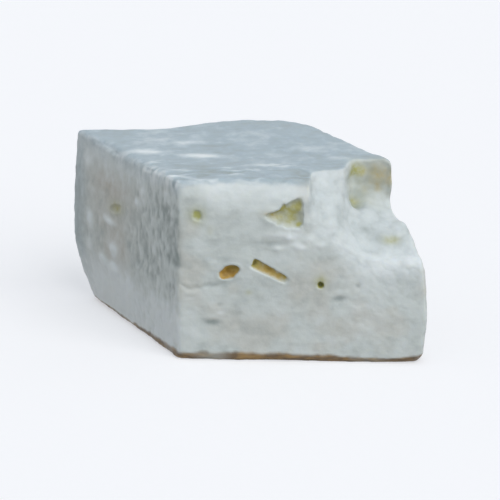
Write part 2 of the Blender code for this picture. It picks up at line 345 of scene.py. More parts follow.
@dataclass(frozen=True)
class CutBlock:
    """The slanted block before it was torn. Sizes are in millimetres, and repeat the solid's.

    Pairs that end in across or back are shares of the width or depth between which a curve rises. The cells
    are where each stretch of the grid ends, as a share across, back and up, and its number of cells.
    """

    front_width: float = 58.8
    depth: float = 47.2
    height: float = 44.4
    left_angle: float = math.radians(30.0)
    right_angle: float = math.radians(30.7)
    front_lead: float = 2.8
    shoulder_drop: float = 3.2
    shoulder_band: float = 9.0
    shoulder_across: Span = (-0.05, 0.27)
    back_bow: float = 5.0
    bow_across: Span = (0.25, 1.25)
    top_dome: float = 1.5
    dome_across: Span = (0.3, 0.8)
    dome_back: Span = (0.15, 0.9)
    right_bulge: float = 3.3
    bulge_scale: float = 27.0 / 4.0
    right_belly: float = 0.6
    left_belly: float = 1.0
    left_tuck: float = 3.8
    tuck_height: float = 18.0
    tuck_power: float = 1.5
    round_across: float = 0.14
    round_back: float = 0.18
    edge_radius: float = 0.8
    edge_wave: Span = (5.0, 0.3)
    edge_chips: Span = (1.8, 0.2)
    top_radius: float = 1.3
    top_band: Span = (-4.5, -0.5)
    left_top_radius: float = 2.2
    left_top_along: Limits = (2.0, 14.0, 34.0, 44.0)
    left_top_width: Span = (9.0, 3.0)
    base_radius: float = 1.1
    base_band: Span = (2.5, 0.5)
    worn_corner_radius: float = 2.8
    worn_corner_reach: float = 7.0
    cells: tuple = (((0.45, 62), (1.0, 96)), ((0.45, 62), (1.0, 48)), ((0.32, 36), (1.0, 84)))

    def belly(self, z: Array) -> Array:
        """Half wave over the height, 1 at half of it."""
        return np.sin(math.pi * np.clip(z / self.height, 0.0, 1.0))

    def left_edge(self, y: Array, z: Array) -> Array:
        """X of the left face: slanted, less a belly, plus a tuck by a power of the share down to the base."""
        tuck = self.left_tuck * (1.0 - np.clip(z / self.tuck_height, 0.0, 1.0)) ** self.tuck_power
        return -math.tan(self.left_angle) * y + y / self.depth * (tuck - self.left_belly * self.belly(z))

    def right_edge(self, y: Array, z: Array) -> Array:
        """X of the right face: slanted, with a belly and a bulge that is highest a third of the way back.

        The bulge is the share back times the squared share forwards, scaled to be 1 at its highest.
        """
        share = np.clip(y / self.depth, 0.0, 1.0)
        bulge = self.right_bulge * self.bulge_scale * share * (1.0 - share) ** 2
        return self.front_width - math.tan(self.right_angle) * y + bulge + self.right_belly * self.belly(z)

    def place(self, shares: Array) -> Array:
        """Points of the block at shares across, back and up: straight blends between its curved faces.

        Near the back right edge the two shares in plan are squeezed as a square is squeezed to a disc: each
        loses the share that one less the root of one less half the other's square takes. The front's right end
        leads the left one forwards, and its upper band leans back by the square of the share up the band.
        """
        across, back, up = shares.T
        u = np.clip((across - 1.0 + self.round_across) / self.round_across, 0.0, 1.0)
        v = np.clip((back - 1.0 + self.round_back) / self.round_back, 0.0, 1.0)
        across = across - self.round_across * u * (1.0 - np.sqrt(1.0 - v * v / 2.0))
        back = back - self.round_back * v * (1.0 - np.sqrt(1.0 - u * u / 2.0))
        dome = self.top_dome * smooth_step(*self.dome_across, across) * smooth_step(*self.dome_back, back)
        z = up * (self.height + dome)
        band_share = np.clip((z - self.height + self.shoulder_band) / self.shoulder_band, 0.0, 1.2)
        shoulder = self.shoulder_drop * smooth_step(*self.shoulder_across, across) * band_share**2
        bow = self.back_bow * np.sin(math.pi * smooth_step(*self.bow_across, across))
        y = shoulder + back * (self.depth + bow * smooth_step(0.0, 1.0, back) - shoulder)
        left = self.left_edge(y, z)
        x = left + across * (self.right_edge(y, z) - left)
        return np.stack([x, y - self.front_lead * across * (1.0 - back), z], axis=1)

    def radius(self, straight: Array) -> Array:
        """Radius of the rounded edge near each point of the straight box, in millimetres."""
        across, back, up = straight.T
        near_left = plateau(self.left_top_along, back) * smooth_step(*self.left_top_width, across)
        top_radius = self.top_radius + (self.left_top_radius - self.top_radius) * near_left
        near_top = smooth_step(*self.top_band, up - self.height)
        radius = self.edge_radius + (top_radius - self.edge_radius) * near_top
        radius += (self.base_radius - self.edge_radius) * smooth_step(*self.base_band, up)
        wave = self.edge_wave[1] * smooth_noise(straight / self.edge_wave[0], seed=11)
        chips = self.edge_chips[1] * smooth_noise(straight / self.edge_chips[0], seed=12)
        radius *= 1.0 + wave + chips
        from_corner = np.linalg.norm(straight - self.front_width * RIGHTWARD, axis=1)
        return radius + (self.worn_corner_radius - radius) * bell(from_corner, self.worn_corner_reach)

    def surface(self) -> Curd:
        """Closed surface of the block with its edges rounded.

        A point of the straight box is pulled to the inner box that lies one radius inside, and pushed out from
        there by the radius. The straight box is then bent to the block's shape.
        """
        shares, quads = box_lattice([grid_lines(stretches) for stretches in self.cells])
        size = np.array([self.front_width, self.depth, self.height])
        straight = shares * size
        radius = self.radius(straight)[:, None]
        inner = np.clip(straight, radius, size - radius)
        away = straight - inner
        facing = away / np.linalg.norm(away, axis=1, keepdims=True)
        return Curd(self.place((inner + facing * radius) / size), quads, facing)

    def side_run(self, angle: float) -> Array:
        """Direction along a slanted side, from front to back."""
        return np.array([-math.sin(angle), math.cos(angle), 0.0])

    def face_place(self, face: CutFace, along: float, height: float) -> Place:
        """Place on a cut face.

        Args:
            face: the cut face.
            along: distance along it from its left end or, on the sides, from the front; on the top, X.
            height: height above the base; on the top, Y.

        Returns:
            The place, whose run and up lie in the face.
        """
        if face is CutFace.TOP:
            return Place(np.array([along, height, self.height]), RIGHTWARD, BACKWARD)
        across = along / self.front_width
        if face is CutFace.FRONT:
            back = 0.0
            turn = math.atan2(self.front_lead, self.front_width)
            run = math.cos(turn) * RIGHTWARD - math.sin(turn) * BACKWARD
        elif face is CutFace.BACK:
            back = 1.0
            run = -RIGHTWARD
        else:
            side = self.side_run(self.left_angle if face is CutFace.LEFT else self.right_angle)
            across = 0.0 if face is CutFace.LEFT else 1.0
            back = along * side[1] / self.depth
            run = -side if face is CutFace.LEFT else side
        return Place(self.place(np.array([[across, back, height / self.height]]))[0], run, UPWARD)


@dataclass(frozen=True)
class TornCorner:
    """The upper right front corner, broken away by hand. Sizes are in millimetres.

    The break is a slope behind the front's upper edge and, right of it, a deeper shelf that ends at a wall.
    Both start from one line on the front, the foot, which is level at the right and rises to the left. The
    middles of the hump and the dip are across and back, and the hollow's is across and up.
    """

    pull: Triple = (-0.60, 0.50, -0.62)
    foot_height: float = 21.0
    foot_rise: float = 14.5
    foot_power: float = 1.5
    foot_level_from: float = 46.0
    slope_start: float = 30.9
    slope_back: float = 12.6
    slope_power: float = 0.9
    slope_clear: float = 0.2
    slope_lean: float = 0.7
    shelf_start: float = 39.2
    shelf_rise: float = 5.6
    shelf_run: Span = (4.0, 13.0)
    shelf_lean: float = 0.85
    wall_back: float = 16.8
    lip_rise: float = 5.0
    lip_back: float = 2.6
    hump_middle: Span = (45.3, 16.5)
    hump_reach: Span = (2.8, 3.4)
    hump_rise: float = 2.0
    dip_middle: Span = (40.8, 18.5)
    dip_reach: Span = (2.6, 4.0)
    dip_drop: float = 2.2
    hollow_middle: Span = (44.8, 37.9)
    hollow_left: float = 5.9
    hollow_right: float = 9.5
    hollow_down: float = 7.0
    hollow_up: float = 15.0
    hollow_power: float = 8.0
    hollow_rim: Span = (1.0, 0.5)
    hollow_depth: float = 2.6
    hollow_span: Limits = (-3.0, -0.8, 0.0, 9.0)
    lump_size: float = 5.5
    lump_height: float = 0.42
    corner_rounding: float = 1.4
    join_on_front: float = 2.4
    join_on_top: float = 0.3
    join_heights: Span = (36.0, 43.0)
    torn_joins: Span = (-1.2, 1.6)
    farthest: float = 45.0
    halvings: int = 16
    probe: float = 0.5
    least_rate: float = 0.35

    def hollow(self, points: Array) -> Array:
        """How far the hollow in the wall sets points back, in millimetres.

        It falls by a smooth step of the share to the hollow's rim, a root of summed powers, and fades to
        nothing both on the shelf in front of the wall and in the curd behind it. It is open at the top.
        """
        x, y, z = points.T
        aside = x - self.hollow_middle[0]
        above = z - self.hollow_middle[1]
        across = np.abs(aside) / np.where(aside < 0.0, self.hollow_left, self.hollow_right)
        up = np.abs(above) / np.where(above < 0.0, self.hollow_down, self.hollow_up)
        share = (across**self.hollow_power + up**self.hollow_power) ** (1.0 / self.hollow_power)
        near = plateau(self.hollow_span, y - self.wall_back)
        return self.hollow_depth * near * smooth_step(*self.hollow_rim, share)

    def beyond(self, points: Array, block: CutBlock) -> Array:
        """How far points lie in the broken away curd, in millimetres, and less than 0 in what is left.

        The foot rises by a power of the share left of where it is level. The shelf rises from it by a lip, a
        quarter round, and then by a smooth step, with a hump before the wall and a dip left of it. The slope
        rises to the top by a power of the share back. What lies over each and right of its start is gone.
        """
        x, y, z = points.T
        back = y + block.front_lead * np.clip(x / block.front_width, 0.0, 1.0)
        left_share = np.clip((self.foot_level_from - x) / (self.foot_level_from - self.slope_start), 0.0, 1.3)
        foot = self.foot_height + self.foot_rise * left_share**self.foot_power
        lip = self.lip_rise * (1.0 - (1.0 - np.clip(back / self.lip_back, 0.0, 1.0)) ** 2)
        hump = self.hump_rise * mound(x - self.hump_middle[0], back - self.hump_middle[1], self.hump_reach)
        dip = self.dip_drop * mound(x - self.dip_middle[0], back - self.dip_middle[1], self.dip_reach)
        shelf = foot + lip + self.shelf_rise * smooth_step(*self.shelf_run, back) + hump - dip
        back_share = np.clip(back / self.slope_back, 0.0, 1.3)
        slope = foot + (block.height + self.slope_clear - foot) * back_share**self.slope_power
        over_shelf = [self.shelf_lean * (z - shelf), x - self.shelf_start, self.wall_back - y]
        over_slope = [self.slope_lean * (z - slope), x - self.slope_start]
        kept = [-soft_least(over, self.corner_rounding) for over in (over_shelf, over_slope)]
        gone = -soft_least(kept, self.corner_rounding)
        return gone - self.lump_height * layered_noise(points, self.lump_size, seed=21)

    def tear(self, curd: Curd, block: CutBlock) -> None:
        """Pull every point of the broken away curd straight back until it comes out, and mark how torn it is.

        The way out is found by halving it again and again. For curd that is left it is less than 0, and comes
        from how fast the break nears. The joins to the cut faces are rounded: the way is the join's width
        times the log of one plus e to the way in widths.
        """
        pull = np.array(self.pull) / np.linalg.norm(self.pull)
        gone = self.beyond(curd.points, block)
        start = curd.points[gone > 0.0]
        near = np.zeros(len(start))
        far = np.full(len(start), self.farthest)
        for _ in range(self.halvings):
            middle = (near + far) / 2.0
            still = self.beyond(start + pull * middle[:, None], block) > 0.0
            near = np.where(still, middle, near)
            far = np.where(still, far, middle)
        rate = (gone - self.beyond(curd.points + pull * self.probe, block)) / self.probe
        way = gone / np.maximum(rate, self.least_rate)
        way[gone > 0.0] = near
        near_top = smooth_step(*self.join_heights, curd.points[:, 2])
        join = self.join_on_front + (self.join_on_top - self.join_on_front) * near_top
        curd.marks[Mark.TORN] = smooth_step(*self.torn_joins, way / join)
        way = join * np.logaddexp(0.0, way / join)
        curd.points = curd.points + pull * way[:, None]
        curd.points[:, 1] += self.hollow(curd.points)


@dataclass(frozen=True)
class Opening:
    """An opening where gas or whey stood between the curds, laid bare by the cut. Sizes are in millimetres.

    Its stain is 0 for clean curd and 1 for dark dried whey, olive is 0 for ochre and 1 for green, and shade is
    how much painted shade darkens the curd in it. The rim waves with the angle, and its lip stands at
    lip_share of the way out. Only curd that faces the opening is held by it, by how far their directions
    agree.
    """

    length: float
    width: float
    depth: float
    turn: float = 0.0
    fullness: float = 2.4
    ragged: float = 0.12
    lip: float = 0.10
    stain: float = 1.0
    olive: float = 0.0
    shade: float = 0.0
    seed: int = 0
    lip_share: float = 1.14
    lip_width: float = 0.13
    rim_waves: float = 1.7
    rim_step: float = 3.7
    held_from: Span = (0.15, 0.6)
    reach_out: float = 1.6
    floor_grain: float = 0.9
    floor_uneven: float = 0.25
    floor_seed: int = 31
    flattened: float = 0.5

    def outline(self, along: Array, up: Array) -> Array:
        """Share of the way from the middle to the rim: the root of the summed powers of both distances."""
        power = self.fullness
        total = np.abs(2.0 * along / self.length) ** power + np.abs(2.0 * up / self.width) ** power
        return total ** (1.0 / power)

    def rim_share(self, part: Array) -> Array:
        """Share of the way to the rim, made ragged by noise that runs round the opening."""
        angle = np.arctan2(part[:, 1], part[:, 0])
        step = np.full(len(part), self.seed * self.rim_step)
        ring = np.stack([np.cos(angle) * self.rim_waves, np.sin(angle) * self.rim_waves, step], axis=1)
        uneven = 1.0 + self.ragged * layered_noise(ring, 1.0, self.seed)
        return self.outline(part[:, 0], part[:, 1]) * uneven

    def press(self, curd: Curd, normals: Array, place: Place) -> None:
        """Press the opening into the curd and mark it.

        Inside the rim a point at a share s moves to the sine of a quarter turn times s, and sinks by the depth
        times its cosine, so that the grid lies evenly over a half ellipsoid.

        Args:
            curd: the surface.
            normals: outward unit vectors of its points before any opening was pressed.
            place: where the opening's middle is.
        """
        turned = place.turned(self.turn)
        local = turned.local(curd.points)
        beside = np.hypot(local[:, 0], local[:, 1]) < max(self.length, self.width)
        near = np.flatnonzero(beside & (np.abs(local[:, 2]) < self.reach_out + self.depth))
        part = local[near]
        share = self.rim_share(part)
        held = smooth_step(*self.held_from, normals[near] @ turned.axes[2])
        inside = share < 1.0
        quarter = np.clip(share, 0.0, 1.0) * math.pi / 2.0
        spread = np.where(inside, np.sin(quarter) / np.maximum(share, TINY), 1.0)
        sink = np.where(inside, np.cos(quarter), 0.0) * held
        uneven = 1.0 + self.floor_uneven * smooth_noise(part / self.floor_grain, self.seed + self.floor_seed)
        part[:, :2] *= (1.0 + (spread - 1.0) * held)[:, None]
        part[:, 2] = part[:, 2] * (1.0 - self.flattened * sink) - self.depth * sink * uneven
        part[:, 2] += self.lip * bell(share - self.lip_share, self.lip_width) * ~inside * held
        curd.points[near] = turned.world(part)
        self.mark(curd, near, sink)

    def mark(self, curd: Curd, near: Array, sink: Array) -> None:
        """Mark how deep the stain is, its hue and its painted shade, at the points near the opening."""
        stained = sink * self.stain
        opening = curd.marks[Mark.OPENING]
        olive = curd.marks[Mark.OLIVE]
        olive[near] = np.where(stained > opening[near], self.olive, olive[near])
        opening[near] = np.maximum(opening[near], stained)
        # painted shade, darker where the opening sinks deeper
        curd.marks[Mark.TONE_AND_PAINTED_LIGHT][near] -= self.shade * sink


@dataclass(frozen=True)
class CorneredOpening(Opening):
    """An opening with straight sides between corners, which are given from its middle, anticlockwise."""

    corners: tuple[Span, ...] = ()
    sharpness: float = 7.0

    def outline(self, along: Array, up: Array) -> Array:
        """Share of the way to the rim: the root of the summed powers of each side's share of its distance."""
        total = np.zeros(len(along))
        for start, end in zip(self.corners, self.corners[1:] + self.corners[:1]):
            side = np.array(end) - np.array(start)
            outward = np.array([side[1], -side[0]]) / np.hypot(*side)
            rim = outward @ np.array(start)
            total += np.clip((along * outward[0] + up * outward[1]) / rim, 0.0, None) ** self.sharpness
        return total ** (1.0 / self.sharpness)


@dataclass(frozen=True)
class WheyStain:
    """A soft stain that whey left, either kept within an opening or free. Sizes are in millimetres."""

    length: float
    width: float
    strength: float
    olive: float = 0.0
    within: bool = True
    edge: Span = (0.0, 0.25)

    def soak(self, curd: Curd, place: Place) -> None:
        """Mark a bell of the stain's length and width, and blend its hue in by its share of what is there."""
        opening = curd.marks[Mark.OPENING]
        stained = self.strength * place.spot(curd.points, self.length, self.width)
        if self.within:
            stained = stained * smooth_step(*self.edge, opening)
        share = stained / np.maximum(stained + opening, TINY)
        curd.marks[Mark.OLIVE] += (self.olive - curd.marks[Mark.OLIVE]) * share
        curd.marks[Mark.OPENING] = np.maximum(opening, stained)


@dataclass(frozen=True)
class SoftSpot:
    """A soft rise or dent that looks paler or duller than the curd round it. Sizes are in millimetres.

    A pale grain or smear that the knife dragged out has a height over 0, and a shallow dent one under 0. Pale
    smears on the wet top are painted highlights instead, and a dent's dullness is painted shade.
    """

    length: float
    width: float
    height: float
    pale: float

    def press(self, curd: Curd, place: Place) -> None:
        """Raise or sink the spot as a bell of its length and width, and mark its tone."""
        rise = place.spot(curd.points, self.length, self.width)
        curd.points = curd.points + place.axes[2] * (rise * self.height)[:, None]
        # paleness or dullness; for top smears a painted highlight, for dents painted shade
        curd.marks[Mark.TONE_AND_PAINTED_LIGHT] += self.pale * rise


@dataclass(frozen=True)
class Crack:
    """A thin crack across the front face, where two curds have not knit. Sizes are in millimetres."""

    start: Span
    end: Span
    sag: float = 1.0
    width: float = 0.55
    depth: float = 0.22
    waver: float = 0.6
    waver_length: float = 2.2
    strong: Limits = (-0.03, 0.1, 0.7, 1.05)
    shade: float = 0.35
    seed: int = 41

    def open_up(self, curd: Curd) -> None:
        """Sink the front by a bell of the distance to a sagging, wavering line that fades at its ends, and
        darken the same bell as a painted shadow.
        """
        run = np.array(self.end) - np.array(self.start)
        length = np.linalg.norm(run)
        run = run / length
        flat = curd.points[:, [0, 2]] - np.array(self.start)
        along = flat @ run
        share = along / length
        sag = self.sag * np.sin(math.pi * np.clip(share, 0.0, 1.0))
        line = self.waver * smooth_noise(np.outer(along / self.waver_length, RIGHTWARD), self.seed)
        aside = flat @ np.array([-run[1], run[0]]) + sag - line
        sunk = bell(aside, self.width) * plateau(self.strong, share) * curd.cut(CutFace.FRONT)
        curd.points[:, 1] += self.depth * sunk
        # painted shadow along the crack
        curd.marks[Mark.TONE_AND_PAINTED_LIGHT] -= self.shade * sunk


@dataclass(frozen=True)
class KnifeWork:
    """What cutting and tearing left on each face, as relief. Sizes and heights are in millimetres.

    Strokes stand upright on the dragged sides and folds run along the wet top. Both are noise that is
    sheared by slow noise of waver strength and size.
    """

    wave: float = 0.26
    wave_size: float = 13.0
    crumb: float = 0.07
    crumb_size: Triple = (2.6, 2.6, 1.7)
    stroke: float = 0.11
    stroke_size: Triple = (1.1, 4.0, 2.4)
    stroke_waver: Span = (0.8, 4.2)
    stroke_fade: Span = (14.0, 34.0)
    stroke_top: Span = (0.5, 4.0)
    side_step: float = 9.0
    fold: float = 0.18
    fold_size: Triple = (6.0, 1.7, 4.0)
    fold_waver: Span = (2.0, 7.0)
    fold_least: float = 0.35
    fold_back: Span = (7.0, 7.0)
    fold_squash: float = 0.3
    torn_lump: float = 0.38
    torn_lump_size: float = 3.0
    torn_grain: float = 0.12
    torn_grain_size: float = 1.1
    base_edge: Span = (1.0, 0.5)

    def strokes(self, curd: Curd, block: CutBlock) -> Array:
        """Pattern of the dragged sides: upright strokes."""
        strength, size = self.stroke_waver
        along = curd.points @ block.side_run(block.left_angle)
        waver = strength * layered_noise(curd.points, size, seed=58, layers=2)
        flat = np.stack([along + waver, curd.facing[:, 0] * self.side_step, curd.points[:, 2]], axis=1)
        return layered_noise(flat, self.stroke_size, seed=61, layers=2)

    def folds(self, curd: Curd) -> Array:
        """Pattern of the top: folds along its front edge, which fade towards the back."""
        strength, size = self.fold_waver
        x, y, z = curd.points.T
        waver = strength * layered_noise(curd.points, size, seed=64, layers=2)
        flat = np.stack([x, y + waver, z * self.fold_squash], axis=1)
        folded = self.fold_least + (1.0 - self.fold_least) * bell(y - self.fold_back[0], self.fold_back[1])
        return layered_noise(flat, self.fold_size, seed=65) * folded

    def work(self, curd: Curd, block: CutBlock) -> None:
        """Raise the relief of every face, and mark its tones."""
        y, z = curd.points.T[1:]
        strokes = self.strokes(curd, block)
        folds = self.folds(curd)
        lumps = grain_height(curd.points, self.torn_lump_size, seed=71) - 0.5
        grains = grain_height(curd.points, self.torn_grain_size, seed=75) - 0.5
        height = self.wave * layered_noise(curd.points, self.wave_size, seed=51, layers=2)
        height += self.crumb * layered_noise(curd.points, self.crumb_size, seed=55) * curd.whole
        drawn = strokes * (1.0 - 0.5 * smooth_step(*self.stroke_fade, y))
        drawn = drawn * smooth_step(*self.stroke_top, block.height - z)
        height += self.stroke * drawn * (curd.cut(CutFace.LEFT) + 0.5 * curd.cut(CutFace.RIGHT))
        height += self.fold * folds * curd.cut(CutFace.TOP)
        height += curd.marks[Mark.TORN] * (self.torn_lump * lumps + self.torn_grain * grains)
        height *= smooth_step(*self.base_edge, curd.towards(CutFace.BASE))
        CurdTones().mark(curd, block, strokes, folds, lumps)
        curd.raise_by(height)


@dataclass(frozen=True)
class CurdTones:
    """Where the curd looks paler or duller, skinned over, warmer, or browned under its rim. Some paler and
    duller tones are painted highlights and painted shade, and the brown under the rim is dried whey and
    painted contact shadow.

    Strengths are shares of a tone. Spans and limits are in millimetres: of X, of the height, of the depth
    under the top's edge, or along the left side from its front.
    """

    slow_size: float = 9.0
    slow: float = 0.22
    quick_size: float = 2.8
    quick: float = 0.18
    raggedness: float = 0.35
    skin_edge: Span = (-1.7, -0.3)
    side_skin_edge: Span = (-5.0, -0.5)
    side_skin_waver: float = 1.4
    far_skin: float = 0.55
    far_skin_along: Span = (46.0, 52.0)
    band: float = 0.65
    band_under_top: Span = (-5.4, -2.6)
    band_across: Span = (2.0, 8.0)
    torn: float = 0.05
    torn_lumps: float = 0.5
    strokes: float = 0.6
    strokes_fade: Span = (14.0, 30.0)
    right_strokes: float = 0.2
    shade: float = 0.5
    shade_along: Span = (6.0, 14.0)
    shade_heights: Limits = (8.0, 17.0, 38.0, 43.0)
    low_side: float = 1.35
    low_heights: Span = (19.0, 7.0)
    high_side: float = 0.6
    high_depths: Span = (11.0, 2.0)
    # painted highlight on the top's fold crests and painted shade in their troughs
    painted_crest_highlight: float = 0.8
    crest_folds: Span = (0.1, 0.8)
    painted_trough_shade: float = 0.5
    trough_folds: Span = (0.05, 0.7)
    wet_edge: float = 0.25
    wet_back: Span = (10.0, 4.0)
    wet_across: Span = (24.0, 14.0)
    warm_along: Span = (35.0, 13.0)
    warm_heights: Limits = (8.0, 20.0, 34.0, 42.0)
    warm_least: float = 0.75
    patch_size: float = 10.0
    patch_noise: Span = (0.0, 0.9)
    front_patches: float = 0.45
    far_patches: float = 0.60
    uneven: float = 0.4
    rim_under: Limits = (0.0, 0.4, 0.93, 0.999)
    edge_under: Span = (1.0, 0.8)
    line_height: float = 2.5
    line_drop_across: float = 1.0
    line_across: Span = (25.0, 50.0)
    line_drop_along: float = 1.2
    line_along: Span = (6.0, 36.0)
    line_core: float = 0.6

    def mark(self, curd: Curd, block: CutBlock, strokes: Array, folds: Array, lumps: Array) -> None:
        """Mark the tones of every face.

        Args:
            curd: the surface.
            block: the block it was cut to.
            strokes: pattern of the dragged sides.
            folds: pattern of the top.
            lumps: pattern of the torn curd.
        """
        x, y, z = curd.points.T
        along = y / math.cos(block.left_angle)
        slow = layered_noise(curd.points, self.slow_size, seed=81, layers=2)
        quick = layered_noise(curd.points, self.quick_size, seed=84)
        ragged = z - block.height + self.raggedness * quick
        skin = self.mark_skin(curd, along, ragged, slow)
        front, right, back = (curd.cut(face) for face in (CutFace.FRONT, CutFace.RIGHT, CutFace.BACK))
        banded = smooth_step(*self.band_across, x) * front + right + back
        tone = self.slow * slow + self.quick * quick
        tone += self.band * smooth_step(*self.band_under_top, ragged) * banded * (1.0 - skin)
        tone += curd.marks[Mark.TORN] * (self.torn + self.torn_lumps * lumps)
        tone += self.left_tone(curd, block, along, strokes) + self.right_strokes * right * strokes
        wet = self.wet_edge * bell(y - self.wet_back[0], self.wet_back[1]) * smooth_step(*self.wet_across, x)
        # painted highlights on fold crests, painted shade in fold troughs
        painted_crest_highlight = self.painted_crest_highlight * smooth_step(*self.crest_folds, folds)
        painted_trough_shade = self.painted_trough_shade * smooth_step(*self.trough_folds, -folds)
        tone += skin * curd.whole * (painted_crest_highlight - painted_trough_shade - wet)
        curd.marks[Mark.TONE_AND_PAINTED_LIGHT] += tone
        patches = smooth_step(*self.patch_noise, layered_noise(curd.points, self.patch_size, seed=87))
        warm = bell(along - self.warm_along[0], self.warm_along[1]) * plateau(self.warm_heights, z)
        warm = warm * np.clip(self.warm_least + self.uneven * slow, 0.0, 1.0) * curd.cut(CutFace.LEFT)
        patched = self.front_patches * front + self.far_patches * (right + back)
        curd.marks[Mark.WARM] = warm + patched * patches
        self.mark_seep_and_shadow(curd, along, z + self.raggedness * quick, slow)

    def mark_skin(self, curd: Curd, along: Array, ragged: Array, slow: Array) -> Array:
        """Mark the wet skin of the top, which reaches over its edges and covers the left side's far end.

        Args:
            curd: the surface.
            along: distance along the left side.
            ragged: height over the top's edge, made ragged.
            slow: slow noise.

        Returns:
            How far the top's skin covers each point, from 0 to 1.
        """
        left = curd.cut(CutFace.LEFT)
        side_skin = smooth_step(*self.side_skin_edge, ragged + self.side_skin_waver * slow)
        skin = smooth_step(*self.skin_edge, ragged) * (1.0 - left) + side_skin * left
        far_side = self.far_skin * smooth_step(*self.far_skin_along, along) * left
        curd.marks[Mark.SKIN] = np.maximum(skin, far_side) * curd.whole
        return skin

    def left_tone(self, curd: Curd, block: CutBlock, along: Array, strokes: Array) -> Array:
        """Tone of the dragged left side: strokes, painted shade over its middle, and paler curd low down and
        high up.
        """
        z = curd.points[:, 2]
        drawn = self.strokes * (1.0 - 0.6 * smooth_step(*self.strokes_fade, along))
        # painted shade over the middle of the left side
        shaded = self.shade * bell(along - self.shade_along[0], self.shade_along[1])
        low = self.low_side * smooth_step(*self.low_heights, z)
        high = self.high_side * smooth_step(*self.high_depths, block.height - z)
        tone = strokes * drawn - shaded * plateau(self.shade_heights, z) + low + high
        return curd.cut(CutFace.LEFT) * tone

    def mark_seep_and_shadow(self, curd: Curd, along: Array, ragged_height: Array, slow: Array) -> None:
        """Mark dried whey and painted contact shadow under the lower rim, and a thin line of both over the rim
        that sinks to both ends.
        """
        under = curd.towards(CutFace.BASE)
        sunk_right = self.line_drop_across * smooth_step(*self.line_across, curd.points[:, 0])
        sunk_back = self.line_drop_along * smooth_step(*self.line_along, along)
        line = self.line_height - sunk_right - sunk_back
        edge = smooth_step(line, self.line_core * line, ragged_height) * smooth_step(*self.edge_under, under)
        # dried whey and painted contact shadow: under the rim and along a thin line over it
        seep_and_shadow = np.maximum(plateau(self.rim_under, under), edge)
        curd.marks[Mark.SEEP_AND_SHADOW] = seep_and_shadow * np.clip(1.0 + self.uneven * slow, 0.0, 1.0)


